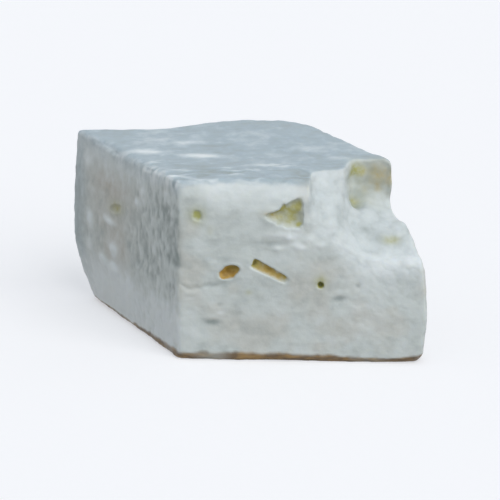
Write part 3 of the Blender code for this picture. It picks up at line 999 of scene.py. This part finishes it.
@dataclass
class CheeseBlock:
    """The whole block: cut, torn, opened and roughened, then dressed as white curd."""

    block: CutBlock = field(default_factory=CutBlock)
    torn_corner: TornCorner = field(default_factory=TornCorner)
    knife_work: KnifeWork = field(default_factory=KnifeWork)

    def openings(self) -> list[tuple[CutFace, float, float, Opening]]:
        """Openings on the cut faces, with each one's distance along its face and its height."""
        front, left, right, back = CutFace.FRONT, CutFace.LEFT, CutFace.RIGHT, CutFace.BACK
        notched = ((-6.1, -0.2), (0.5, -3.5), (3.9, -3.6), (4.3, 3.8), (1.9, 3.8), (-1.7, 1.8))
        tapered = ((-4.5, -1.35), (4.2, -1.1), (4.7, 0.7), (-4.3, 1.25))
        return [
            (front, 11.9, 22.2, Opening(5.5, 3.4, 1.2, turn=27, fullness=1.8, ragged=0.1, stain=0.9, seed=1)),
            (front, 21.3, 22.7, CorneredOpening(
                9.2, 2.6, 0.9, turn=-27, ragged=0.12, stain=0.52, olive=0.28, seed=2, corners=tapered,
            )),
            (front, 33.4, 19.2, Opening(1.6, 1.7, 1.4, olive=0.95, seed=3)),
            (front, 4.4, 36.0, Opening(2.5, 2.9, 0.4, fullness=2, ragged=0.2, stain=0.5, olive=1.0, seed=4)),
            (front, 25.6, 36.5, CorneredOpening(
                12.0, 9.0, 1.5, ragged=0.25, stain=0.34, olive=0.85, shade=0.5, seed=5, corners=notched,
            )),
            (left, 31.4, 29.5, Opening(7.0, 2.2, 0.3, turn=18, ragged=0.2, stain=0.16, olive=0.8, seed=12)),
            (right, 33.0, 28.0, Opening(5.2, 2.8, 1.8, turn=15, stain=0.8, seed=14)),
            (right, 23.0, 13.0, Opening(6.8, 2.4, 1.5, turn=-20, fullness=3.6, stain=0.6, seed=15)),
            (right, 43.0, 17.0, Opening(3.0, 2.6, 1.6, stain=0.8, olive=0.7, seed=16)),
            (right, 38.0, 38.0, Opening(2.4, 1.9, 1.0, stain=0.6, olive=1.0, seed=17)),
            (right, 26.4, 21.6, Opening(1.4, 1.6, 1.2, olive=0.9, seed=18)),
            (back, 16.5, 34.0, Opening(6.0, 3.4, 1.8, turn=18, stain=0.8, seed=19)),
            (back, 20.0, 14.0, Opening(9.0, 2.6, 1.6, turn=-26, fullness=3.8, stain=0.6, seed=20)),
            (back, 36.0, 32.0, Opening(3.2, 2.8, 1.6, stain=0.8, olive=0.8, seed=21)),
            (back, 44.0, 14.0, Opening(4.8, 3.0, 1.6, turn=35, stain=0.7, olive=0.3, seed=22)),
            (back, 48.0, 23.5, Opening(1.5, 1.5, 1.2, olive=0.9, seed=23)),
            (back, 50.0, 36.0, Opening(2.2, 2.0, 1.0, stain=0.6, olive=1.0, seed=24)),
        ]

    def stains(self) -> list[tuple[Place, WheyStain]]:
        """Stains on the cut faces, with their places.

        A row gives the distance along, the height and the turn, then the length, width, strength and olive.
        """
        on_left = ((31.4, 29.7, 10.0, 7.0, 3.4, 0.34, 0.7),)
        in_openings = (
            (13.0, 23.2, 30.0, 3.0, 1.8, 0.95, 0.85),
            (11.4, 21.4, 27.0, 4.2, 1.4, 0.85, 0.15),
            (17.7, 24.7, 0.0, 2.4, 2.4, 1.0, 0.85),
            (24.9, 21.0, 60.0, 2.0, 1.2, 0.6, 0.6),
            (24.0, 38.0, 30.0, 4.4, 1.8, 0.75, 0.8),
            (21.8, 36.4, 0.0, 3.0, 1.4, 0.4, 0.6),
            (28.6, 38.6, 70.0, 3.8, 2.4, 0.6, 0.85),
            (28.6, 34.0, 10.0, 2.8, 1.8, 0.7, 0.95),
        )
        round_openings = (
            (33.5, 20.2, 0.0, 2.8, 3.2, 0.30, 0.9),
            (4.4, 36.0, 0.0, 3.8, 4.2, 0.30, 1.0),
            (21.4, 36.6, 0.0, 3.4, 1.6, 0.20, 0.2),
            (16.6, 17.2, 0.0, 1.8, 1.4, 0.16, 1.0),
            (7.4, 32.6, 0.0, 1.8, 2.4, 0.10, 0.8),
        )
        groups = (
            (CutFace.LEFT, False, on_left),
            (CutFace.FRONT, True, in_openings),
            (CutFace.FRONT, False, round_openings),
        )
        return [
            (self.block.face_place(face, along, height).turned(turn), WheyStain(*stain, within=within))
            for face, within, rows in groups
            for along, height, turn, *stain in rows
        ]

    def torn_stains(self) -> list[tuple[Place, WheyStain]]:
        """Stains that the tear has laid bare, in the hollow of its wall and on its shelf, with their places.

        A row gives the middle's X, Y and Z, then the length, width, strength and olive.
        """
        rows = (
            (45.4, 18.6, 38.4, 14.0, 9.6, 0.16, 0.6),
            (42.4, 18.4, 42.0, 5.4, 3.8, 0.48, 1.0),
            (47.6, 18.6, 41.2, 7.6, 6.0, 0.26, 0.2),
            (47.4, 19.0, 38.0, 4.0, 5.0, 0.22, 0.15),
            (50.4, 18.0, 40.4, 4.4, 7.0, 0.26, 0.2),
            (41.0, 18.0, 33.8, 5.0, 4.6, 0.32, 0.9),
            (50.6, 6.2, 28.4, 4.2, 1.8, 0.30, 0.9),
        )
        return [(facing_front(row[:3]), WheyStain(*row[3:], within=False)) for row in rows]

    def torn_spots_light_and_shade(self) -> list[tuple[Place, SoftSpot]]:
        """Paler and duller parts of the torn curd, seen from the front, with their places. Most are painted
        light and
        shade: paler where the ramp's lower right faces the light, duller over its middle, darker in the hollow
        of the wall, and a painted shadow at the top of the strip's left edge.

        A row gives the middle's X, Y and Z, then the length, width, rise and paleness.
        """
        rows = (
            (53.0, 1.0, 24.6, 10.0, 5.0, 0.0, 0.75),
            (48.0, 2.0, 23.4, 8.0, 3.0, 0.0, 0.5),
            (40.0, 4.0, 26.5, 7.0, 6.0, 0.0, -0.45),
            (43.2, 8.0, 30.2, 7.0, 5.0, 0.0, -0.6),
            (47.9, 7.0, 28.4, 5.0, 3.6, 0.0, -0.5),
            (35.0, 3.0, 32.0, 6.0, 5.0, 0.0, -0.3),
            (30.6, 2.0, 40.2, 2.2, 8.0, 0.0, -0.7),
            (45.8, 18.0, 37.6, 13.0, 10.0, 0.0, 0.15),
            (48.2, 18.0, 40.8, 8.0, 6.0, 0.0, -1.6),
            (50.4, 18.0, 36.0, 4.0, 8.0, 0.0, -0.2),
            (41.0, 17.5, 33.4, 4.6, 5.0, 0.0, -1.0),
            (43.4, 4.0, 24.4, 2.0, 1.6, 0.3, 1.5),
            (50.6, 6.2, 28.4, 4.4, 1.4, -0.3, -0.2),
        )
        return [(facing_front(row[:3]), SoftSpot(*row[3:])) for row in rows]

    def soft_spots(self) -> list[tuple[Place, SoftSpot]]:
        """Flecks, smears and shallow dents on the cut faces, with their places. The pale smears on the top are
        painted highlights, and the dents look duller by painted shade.

        A row gives the distance along and the height, then the length, width, rise and paleness.
        """
        on_front = (
            (7.7, 9.5, 4.2, 1.6, -0.3, -1.2),
            (37.9, 15.9, 3.4, 1.5, -0.25, -0.9),
            (42.2, 19.0, 1.3, 1.3, -0.3, -0.8),
            (9.5, 13.9, 1.8, 1.1, -0.2, -0.5),
            (9.8, 11.8, 1.8, 1.0, 0.1, 0.6),
            (25.0, 31.6, 8.0, 1.4, 0.2, 0.8),
            (22.0, 29.4, 9.0, 1.6, -0.2, -0.5),
            (14.0, 30.0, 12.0, 4.0, 0.0, -0.35),
            (27.4, 29.2, 2.2, 1.6, 0.3, 0.7),
            (28.9, 28.4, 2.4, 1.4, 0.3, 0.6),
            (26.2, 30.8, 2.0, 1.2, 0.3, 0.6),
            (30.8, 30.6, 2.8, 2.0, 0.35, 0.6),
            (23.2, 28.2, 2.4, 1.3, 0.3, 0.5),
            (33.2, 29.0, 2.6, 1.6, 0.3, 0.4),
            (34.6, 25.6, 7.0, 3.6, -0.2, -0.5),
            (19.6, 27.6, 9.0, 4.0, -0.2, -0.3),
            (3.9, 30.1, 6.0, 7.0, 0.0, 0.3),
            (28.4, 17.6, 7.0, 3.0, 0.0, 0.25),
            (17.4, 10.9, 4.0, 7.0, 0.0, 0.25),
            (5.0, 15.6, 8.0, 5.0, 0.1, 0.3),
            (45.5, 10.0, 18.0, 12.0, 0.0, 0.3),
        )
        on_left = (
            (45.3, 22.9, 3.4, 4.4, 0.35, 1.35),
            (46.2, 16.2, 3.2, 3.4, 0.35, 1.35),
            (39.6, 14.4, 3.0, 3.2, 0.45, 2.0),
            (33.0, 18.5, 3.8, 3.8, 0.45, 2.0),
            (34.5, 12.7, 4.0, 3.6, 0.50, 2.4),
            (34.6, 25.4, 7.0, 1.9, 0.35, 1.8),
            (46.9, 37.7, 3.4, 2.8, 0.2, 0.8),
            (18.3, 36.9, 2.0, 2.2, 0.2, 1.35),
            (21.0, 33.8, 2.0, 2.0, 0.2, 1.35),
            (17.5, 34.6, 1.8, 2.2, 0.2, 1.35),
            (26.8, 9.5, 2.4, 7.0, 0.40, 2.0),
            (6.2, 39.6, 2.4, 1.6, 0.2, 0.9),
            (12.0, 14.0, 1.6, 2.6, -0.2, -0.5),
        )
        on_right = (
            (12.0, 9.0, 3.2, 1.6, -0.25, -0.7),
            (36.0, 20.0, 2.0, 3.0, 0.2, 0.9),
            (28.0, 35.0, 2.4, 2.2, 0.2, 0.9),
            (20.0, 27.0, 7.0, 1.4, 0.2, 0.8),
            (15.0, 19.0, 6.0, 3.4, -0.2, -0.5),
            (42.0, 30.0, 5.0, 4.0, 0.0, -0.5),
            (40.0, 8.0, 2.4, 1.5, 0.3, 0.8),
            (31.0, 10.0, 8.0, 5.0, 0.1, 0.4),
        )
        on_back = (
            (8.0, 12.0, 3.6, 1.6, -0.25, -0.7),
            (30.0, 10.0, 2.6, 2.0, 0.2, 0.9),
            (40.0, 24.0, 4.6, 1.6, -0.25, -0.6),
            (28.0, 37.0, 9.0, 1.6, 0.2, 0.9),
            (46.0, 27.0, 6.0, 4.0, -0.2, -0.5),
            (30.0, 26.0, 9.0, 4.0, 0.0, -0.5),
            (9.0, 21.0, 2.6, 1.7, 0.3, 0.9),
            (34.0, 17.0, 8.0, 3.4, 0.0, 0.5),
            (17.0, 8.0, 9.0, 6.0, 0.1, 0.45),
        )
        # pale smears here are painted highlights on the wet top; the dull dents are painted shade
        top_glints_and_dents = (
            (-9.0, 25.6, 7.0, 3.4, 0.1, 1.5),
            (-0.2, 33.7, 6.0, 3.4, 0.1, 0.9),
            (4.6, 22.4, 9.5, 3.8, 0.1, 1.5),
            (20.6, 13.4, 9.0, 3.0, 0.1, 0.8),
            (0.4, 9.6, 8.0, 3.0, 0.1, 0.9),
            (10.0, 11.0, 8.0, 1.8, 0.1, 0.7),
            (-1.5, 4.8, 3.2, 2.4, 0.15, 1.0),
            (1.4, 2.6, 2.4, 1.8, -0.2, -0.6),
            (-3.8, 8.4, 3.0, 2.4, 0.1, 0.7),
            (38.0, 19.0, 6.0, 3.0, 0.1, 0.5),
            (30.0, 27.0, 7.0, 3.6, 0.1, 0.4),
            (8.0, 31.0, 6.0, 2.0, -0.1, -0.4),
            (-12.0, 36.0, 5.0, 2.0, -0.1, -0.3),
            (29.0, 6.0, 6.0, 5.0, -0.5, -0.6),
        )
        groups = (
            (CutFace.FRONT, on_front),
            (CutFace.LEFT, on_left),
            (CutFace.RIGHT, on_right),
            (CutFace.BACK, on_back),
            (CutFace.TOP, top_glints_and_dents),
        )
        return [
            (self.block.face_place(face, *row[:2]), SoftSpot(*row[2:]))
            for face, rows in groups
            for row in rows
        ]

    def shape(self) -> Curd:
        """Work out the surface: the block, its tear, relief, spots, crack, openings and stains in turn."""
        curd = self.block.surface()
        self.torn_corner.tear(curd, self.block)
        self.knife_work.work(curd, self.block)
        for place, spot in self.soft_spots() + self.torn_spots_light_and_shade():
            spot.press(curd, place)
        Crack(start=(0.0, 18.9), end=(12.0, 19.4)).open_up(curd)
        normals = point_normals(curd.points, curd.quads)
        for face, along, height, opening in self.openings():
            opening.press(curd, normals, self.block.face_place(face, along, height))
        for place, stain in self.stains() + self.torn_stains():
            stain.soak(curd, place)
        curd.points[:, 2] = np.maximum(curd.points[:, 2], 0.0)
        return curd

    def build(self, low: Vector, high: Vector) -> tuple[bpy.types.Object, Array]:
        """Make the piece, moved so that its base lies in the middle of the part's box.

        Args:
            low: lowest corner of the part's box, in metres.
            high: highest corner of the part's box, in metres.

        Returns:
            The piece, dressed, and where the cut frame's corner has come to lie, in millimetres.
        """
        curd = self.shape()
        middle = (curd.points.min(axis=0) + curd.points.max(axis=0)) / 2.0
        corner = np.array((low + high) / 2.0) / MM - middle
        corner[2] = low.z / MM
        mesh = bpy.data.meshes.new("curd_surface")
        mesh.from_pydata((curd.points + corner) * MM, [], curd.quads)
        for mark, values in curd.marks.items():
            attribute = mesh.attributes.new(mark.value, "FLOAT", "POINT")
            attribute.data.foreach_set("value", values.astype(np.float32))
        mesh.shade_smooth()
        mesh.update()
        piece = bpy.data.objects.new("white_cheese_surface", mesh)
        bpy.context.scene.collection.objects.link(piece)
        mesh.materials.append(MoistWhiteCurd().make())
        return piece, corner


def linear(hex_color: str) -> Color:
    """Linear colour of an sRGB hex value such as #E0E4DF."""
    channels = [int(hex_color[i : i + 2], 16) / 255.0 for i in (1, 3, 5)]
    values = [c / 12.92 if c <= 0.04045 else ((c + 0.055) / 1.055) ** 2.4 for c in channels]
    return (*values, 1.0)


def add_node(tree: Tree, kind: str, links: dict | None = None, **settings: object) -> bpy.types.Node:
    """Add a node to a tree.

    Args:
        tree: the node tree.
        kind: the node's Blender type.
        links: input name or number to an output socket, or to a constant.
        settings: the node's own properties.

    Returns:
        The node.
    """
    node = tree.nodes.new(kind)
    for name, value in settings.items():
        setattr(node, name, value)
    for socket, value in (links or {}).items():
        if isinstance(value, Socket):
            tree.links.new(value, node.inputs[socket])
        else:
            node.inputs[socket].default_value = value
    return node


@dataclass(frozen=True)
class MoistWhiteCurd:
    """White curd set by rennet, drained, brined and cut with a wire.

    The body is matt and milky with a faint cool cast, and light goes a little way in. The cut top is a wet
    skin, greyer and bluer. The left side is warmer where it has dried. Whey has dried ochre and olive in the
    openings. Under the lower rim, the brown is partly dried whey and partly painted contact shadow.
    """

    body: str = "#D1D8D6"
    # the tone blends towards these: paler curd and painted highlights, duller curd and painted shade
    pale_and_highlight: str = "#E8EEEF"
    dull_and_shade: str = "#9CA5A3"
    skin: str = "#A9B9C1"
    torn: str = "#CBD2D2"
    warm: str = "#C5C0B5"
    ochre_whey: tuple[str, str, str] = ("#C2B999", "#C09A4A", "#94701C")
    olive_whey: tuple[str, str, str] = ("#B8BA96", "#A9AB64", "#5E622E")
    # colours of dried whey and painted contact shadow under the rim
    seep_and_shadow_light: str = "#A47E3A"
    seep_and_shadow_dark: str = "#684A18"
    skin_cover: float = 0.92
    warm_cover: float = 0.85
    seep_and_shadow_cover: float = 0.9
    roughness: float = 0.50
    milkiness: float = 0.25
    light_reach_mm: float = 1.3
    grain_mm: float = 0.9
    tooth_mm: float = 0.45
    relief_mm: float = 0.06

    def make(self) -> bpy.types.Material:
        """Build the material: body, torn curd, skin and dried side, then tones and stains."""
        material = bpy.data.materials.new("moist_white_curd")
        material.use_nodes = True
        tree = material.node_tree
        tree.nodes.clear()
        place = add_node(tree, "ShaderNodeTexCoord").outputs["Object"]
        marks = {
            mark: add_node(tree, "ShaderNodeAttribute", attribute_name=mark.value).outputs["Fac"]
            for mark in Mark
        }
        color = self.coat(tree, linear(self.body), linear(self.torn), marks[Mark.TORN])
        color = self.coat(tree, color, linear(self.skin), marks[Mark.SKIN], cover=self.skin_cover)
        color = self.coat(tree, color, linear(self.warm), marks[Mark.WARM], cover=self.warm_cover)
        # tones, painted highlights and painted shade among them
        color = self.toned_with_painted_light(tree, place, color, marks[Mark.TONE_AND_PAINTED_LIGHT])
        # brown under the rim: dried whey and painted contact shadow
        color = self.seeped_and_shadowed(tree, place, color, marks[Mark.SEEP_AND_SHADOW])
        color = self.stained(tree, place, color, marks[Mark.OPENING], marks[Mark.OLIVE])
        shader = add_node(tree, "ShaderNodeBsdfPrincipled", {
            "Base Color": color,
            "Roughness": self.roughness,
            "IOR": 1.40,
            "Subsurface Weight": self.milkiness,
            "Subsurface Radius": (1.0, 0.85, 0.65),
            "Subsurface Scale": self.light_reach_mm * MM,
            "Normal": self.fine_relief(tree, place),
        })
        add_node(tree, "ShaderNodeOutputMaterial", {"Surface": shader.outputs["BSDF"]})
        return material

    @staticmethod
    def coat(
        tree: Tree, under: Socket | Color, top: Socket | Color, value: Socket,
        start: float = 0.0, end: float = 1.0, cover: float = 1.0,
    ) -> Socket:
        """Lay one colour over another where a value is high.

        Args:
            tree: the node tree.
            under: colour that is coated.
            top: colour of the coat.
            value: what the coat follows.
            start: value where the coat starts.
            end: value where it is full.
            cover: how far the full coat hides what is under it.

        Returns:
            The coated colour.
        """
        share = add_node(tree, "ShaderNodeMapRange", {0: value, 1: start, 2: end, 4: cover}).outputs[0]
        return add_node(tree, "ShaderNodeMix", {0: share, 6: under, 7: top}, data_type="RGBA").outputs[2]

    @staticmethod
    def pattern(
        tree: Tree, place: Socket, size_mm: Triple, strength: float, middle: float, detail: float = 3.0,
    ) -> Socket:
        """Noise with a grain of the given size along each axis, of a strength around a middle value.

        Args:
            tree: the node tree.
            place: the piece's own coordinates.
            size_mm: grain size along each axis, in millimetres.
            strength: how far apart the noise's ends, 0 and 1, are set.
            middle: value at the noise's middle.
            detail: how many finer layers it has.

        Returns:
            The noise.
        """
        scale = tuple(size * MM for size in size_mm)
        mapped = add_node(tree, "ShaderNodeMapping", {"Vector": place, "Scale": scale}, vector_type="TEXTURE")
        links = {"Vector": mapped.outputs[0], "Scale": 1.0, "Detail": detail}
        noise = add_node(tree, "ShaderNodeTexNoise", links)
        stretch = {0: noise.outputs[0], 1: strength, 2: middle - strength / 2.0}
        return add_node(tree, "ShaderNodeMath", stretch, operation="MULTIPLY_ADD").outputs[0]

    def toned_with_painted_light(self, tree: Tree, place: Socket, color: Socket, tone: Socket) -> Socket:
        """Paler and duller curd by the tone, with mottles of about 2 mm and 0.7 mm added to it. The tone holds
        painted highlights and painted shade besides the curd's own paler and duller parts.
        """
        for size_mm, strength, detail in (((2.4, 2.4, 1.8), 0.9, 4.0), ((0.7, 0.7, 0.7), 0.24, 2.0)):
            mottles = self.pattern(tree, place, size_mm, strength, 0.0, detail)
            tone = add_node(tree, "ShaderNodeMath", {0: tone, 1: mottles}).outputs[0]
        color = self.coat(tree, color, linear(self.pale_and_highlight), tone, end=1.3)
        return self.coat(tree, color, linear(self.dull_and_shade), tone, end=-1.1)

    def seeped_and_shadowed(self, tree: Tree, place: Socket, color: Socket, seep_and_shadow: Socket) -> Socket:
        """Dried whey and painted contact shadow under the rim, in patches from light ochre to dark brown."""
        patches = self.pattern(tree, place, (3.0, 3.0, 0.8), 1.0, 0.5)
        stain = self.coat(tree, linear(self.seep_and_shadow_light), linear(self.seep_and_shadow_dark), patches, 0.25, 0.58)
        return self.coat(tree, color, stain, seep_and_shadow, cover=self.seep_and_shadow_cover)

    def stained(self, tree: Tree, place: Socket, color: Socket, opening: Socket, olive: Socket) -> Socket:
        """Dried whey: cream at the rim, ochre inside and brown at the bottom, or the same in olive."""
        stirred = self.pattern(tree, place, (1.7, 1.7, 1.7), 1.6, 1.0)
        deep = add_node(tree, "ShaderNodeMath", {0: opening, 1: stirred}, operation="MULTIPLY").outputs[0]
        hues = []
        for rim, inside, bottom in (self.ochre_whey, self.olive_whey):
            hue = self.coat(tree, linear(rim), linear(inside), deep, 0.1, 0.5)
            hues.append(self.coat(tree, hue, linear(bottom), deep, 0.5, 1.0))
        return self.coat(tree, color, self.coat(tree, hues[0], hues[1], olive), deep, end=0.4)

    def fine_relief(self, tree: Tree, place: Socket) -> Socket:
        """Curd grain finer than the mesh: small grains with a still finer tooth, as a bump."""
        grain_links = {"Vector": place, "Scale": 1.0 / (self.grain_mm * MM)}
        grains = add_node(tree, "ShaderNodeTexVoronoi", grain_links, feature="SMOOTH_F1").outputs["Distance"]
        tooth_links = {"Vector": place, "Scale": 1.0 / (self.tooth_mm * MM), "Detail": 3.0}
        tooth = add_node(tree, "ShaderNodeTexNoise", tooth_links).outputs[0]
        both = add_node(tree, "ShaderNodeMath", {0: grains, 1: -0.6, 2: tooth}, operation="MULTIPLY_ADD")
        bump_links = {"Strength": 0.5, "Distance": self.relief_mm * MM, "Height": both.outputs[0]}
        return add_node(tree, "ShaderNodeBump", bump_links).outputs[0]


@dataclass(frozen=True)
class Studio:
    """Pale floor that runs out to a dome of its own colour, one broad soft light and a dim even sky.

    The floor and the dome light nothing, so the sky alone sets how dark the shaded side is.
    """

    floor_radius: float = 3.0
    floor_color: str = "#CAC8C8"
    floor_glow: float = 0.48
    dome_color: str = "#F4F7FC"
    dome_share: float = 0.98
    dome_rise: Span = (-0.05, 1.45)
    rings: int = 16
    sectors: int = 96
    sky_color: str = "#EEF5FC"
    ground_color: str = "#EDEDEA"
    sky_strength: float = 0.56
    ground_strength: float = 0.35
    horizon: Span = (-0.25, 0.25)
    key_direction: Triple = (0.47, -0.60, 0.65)
    key_strength: float = 1.6
    key_spread: float = math.radians(50.0)

    def build(self) -> None:
        """Make the floor, the dome, the light and the sky."""
        self.stand(self.disc(), "pale_floor", self.board())
        self.stand(self.dome(), "pale_dome", self.glow())
        light = bpy.data.lights.new("broad_key", "SUN")
        light.energy = self.key_strength
        light.angle = self.key_spread
        lamp = bpy.data.objects.new("broad_key", light)
        lamp.rotation_mode = "QUATERNION"
        lamp.rotation_quaternion = Vector(self.key_direction).to_track_quat("Z", "Y")
        bpy.context.scene.collection.objects.link(lamp)
        self.sky()
        bpy.context.scene.view_settings.view_transform = "Standard"

    def ring(self, radius: float, height: float) -> Array:
        """Points of a level circle round the origin."""
        angle = np.linspace(0.0, 2.0 * math.pi, self.sectors, endpoint=False)
        return np.stack([radius * np.cos(angle), radius * np.sin(angle), angle * 0.0 + height], axis=1)

    def disc(self) -> tuple[Array, list]:
        """Level disc: one face inside a circle."""
        return self.ring(self.floor_radius, 0.0), [list(range(self.sectors))]

    def dome(self) -> tuple[Array, list]:
        """Half ball seen from inside: circles of cosine radius at sine heights, closed by one face on top."""
        rise = np.linspace(*self.dome_rise, self.rings)
        reach = self.floor_radius * self.dome_share
        points = np.concatenate([self.ring(reach * math.cos(a), reach * math.sin(a)) for a in rise])
        start = np.arange(self.rings - 1)[:, None] * self.sectors
        here = np.arange(self.sectors)
        after = (here + 1) % self.sectors
        up = self.sectors
        quads = np.stack([start + after, start + here, start + up + here, start + up + after], axis=-1)
        lid = (self.rings - 1) * self.sectors + here[::-1]
        return points, [*quads.reshape(-1, 4).tolist(), lid.tolist()]

    def stand(self, shape: tuple[Array, list], name: str, material: bpy.types.Material) -> None:
        """Put a piece of the studio in the scene, so that only the camera and gloss see it."""
        mesh = bpy.data.meshes.new(name)
        mesh.from_pydata(shape[0], [], shape[1])
        mesh.materials.append(material)
        piece = bpy.data.objects.new(name, mesh)
        piece.visible_diffuse = False
        piece.visible_shadow = False
        bpy.context.scene.collection.objects.link(piece)

    def board(self) -> bpy.types.Material:
        """Matt pale board, lit from behind as well, so that shadows on it stay light."""
        material = bpy.data.materials.new("matt_pale_board")
        material.use_nodes = True
        inputs = material.node_tree.nodes["Principled BSDF"].inputs
        inputs["Base Color"].default_value = linear(self.floor_color)
        inputs["Roughness"].default_value = 1.0
        inputs["Specular IOR Level"].default_value = 0.0
        inputs["Emission Color"].default_value = linear(self.dome_color)
        inputs["Emission Strength"].default_value = self.floor_glow
        return material

    def glow(self) -> bpy.types.Material:
        """Evenly lit backdrop."""
        material = bpy.data.materials.new("evenly_lit_backdrop")
        material.use_nodes = True
        tree = material.node_tree
        tree.nodes.clear()
        glow = add_node(tree, "ShaderNodeEmission", {"Color": linear(self.dome_color), "Strength": 1.0})
        add_node(tree, "ShaderNodeOutputMaterial", {"Surface": glow.outputs[0]})
        return material

    def sky(self) -> None:
        """Even sky above the horizon, and a dimmer bounce from the ground below it."""
        world = bpy.data.worlds.new("even_sky")
        world.use_nodes = True
        tree = world.node_tree
        tree.nodes.clear()
        way = add_node(tree, "ShaderNodeTexCoord").outputs["Generated"]
        height = add_node(tree, "ShaderNodeSeparateXYZ", {0: way}).outputs[2]
        low, high = self.horizon
        share = add_node(tree, "ShaderNodeMapRange", {0: height, 1: low, 2: high}).outputs[0]
        halves = ((self.ground_color, self.ground_strength), (self.sky_color, self.sky_strength))
        parts = [
            tuple(channel * strength for channel in linear(color)[:3]) + (1.0,)
            for color, strength in halves
        ]
        mix = add_node(tree, "ShaderNodeMix", {0: share, 6: parts[0], 7: parts[1]}, data_type="RGBA")
        background = add_node(tree, "ShaderNodeBackground", {"Color": mix.outputs[2], "Strength": 1.0})
        add_node(tree, "ShaderNodeOutputWorld", {"Surface": background.outputs[0]})
        bpy.context.scene.world = world


@dataclass(frozen=True)
class PhotoView:
    """The photograph's camera: where it stood, and the part of its frame that the block fills.

    Pixels are those of the 500 pixel photograph. The block's lower front left corner is at corner_pixel.
    """

    scale_mm: float = 0.42
    lens_mm: float = 140.0
    sensor_mm: float = 36.0
    look_down: float = math.radians(20.0)
    corner_pixel: Span = (179.0, 222.7)
    middle_pixel: Span = (219.0, 160.0)
    closer: float = 1.75
    nearest: float = 0.05

    def ray(self, pixel: Span) -> Array:
        """Way from the camera through a pixel, as long as the focal length in pixels where it looks ahead."""
        ahead = math.cos(self.look_down) * BACKWARD - math.sin(self.look_down) * UPWARD
        up = np.cross(RIGHTWARD, ahead)
        half = IMAGE_SIDE / 2.0
        focal = self.lens_mm / self.sensor_mm * IMAGE_SIDE
        return ahead * focal + RIGHTWARD * (pixel[0] - half) + up * (half - pixel[1])

    def build(self, corner: Array) -> None:
        """Make the camera.

        It stands where the photograph's stood: back from the corner along the ray of the corner's pixel. It is
        turned to the ray of the middle pixel, with a longer lens, so the view keeps the photograph's angle.

        Args:
            corner: the block's lower front left corner in the part's frame, in millimetres.
        """
        camera = bpy.data.objects.new("photo_view", bpy.data.cameras.new("photo_view"))
        camera.data.sensor_width = self.sensor_mm
        camera.data.lens = self.lens_mm * self.closer
        camera.data.clip_start = self.nearest
        camera.location = Vector((corner - self.ray(self.corner_pixel) * self.scale_mm) * MM)
        camera.rotation_mode = "QUATERNION"
        camera.rotation_quaternion = Vector(self.ray(self.middle_pixel)).to_track_quat("-Z", "Y")
        bpy.context.scene.collection.objects.link(camera)
        bpy.context.scene.camera = camera


def main() -> None:
    """Build the cheese, the studio and the camera."""
    piece, corner = CheeseBlock().build(cad_low, cad_high)
    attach(piece, "root")
    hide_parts(NODE)
    log.info("built %s with %d faces", piece.name, len(piece.data.polygons))
    Studio().build()
    log.info("built the studio")
    PhotoView().build(corner)
    log.info("placed the camera")


if __name__ == "__main__":
    main()
